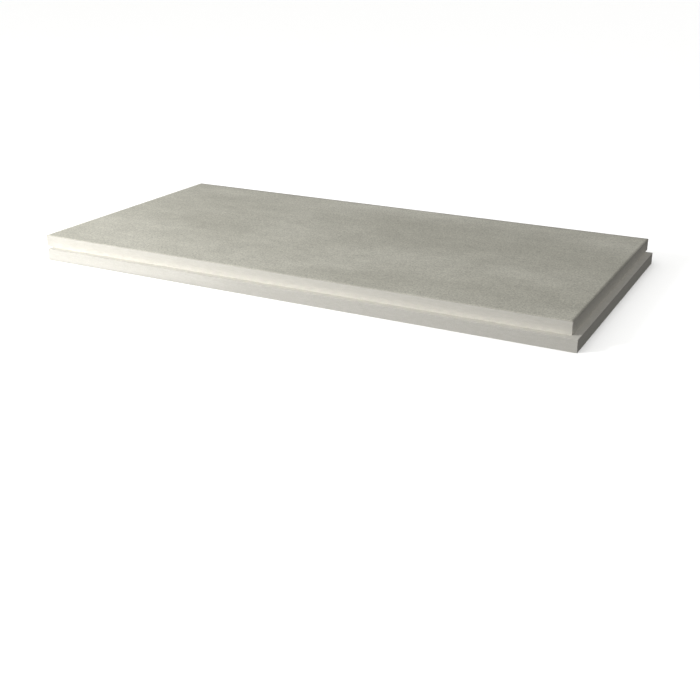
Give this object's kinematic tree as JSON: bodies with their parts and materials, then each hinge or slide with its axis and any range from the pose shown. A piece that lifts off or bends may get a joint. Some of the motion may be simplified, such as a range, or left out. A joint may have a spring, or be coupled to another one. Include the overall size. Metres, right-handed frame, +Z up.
{
  "type": "polyiso insulation board",
  "caption": "Flat rigid foam board with fleece facers and stepped edges: boards laid edge to edge lap over each other by half their thickness.",
  "frame": {"origin": "centre of the underside of the board's envelope, lips included, on the surface it lies on", "axes": "+X along the length towards the end whose lower lip stands out, +Y across the width towards the side whose upper lip stands out, +Z up through the thickness"},
  "size_m": [1.2, 0.6, 0.05],
  "materials": {
    "foam": "sawn closed-cell foam, matte",
    "facer": "mineral-coated glass fleece, matte"
  },
  "bodies": {
    "root": {"foam_core": "foam", "top_facer": "facer", "bottom_facer": "facer"}
  },
  "joints": []
}
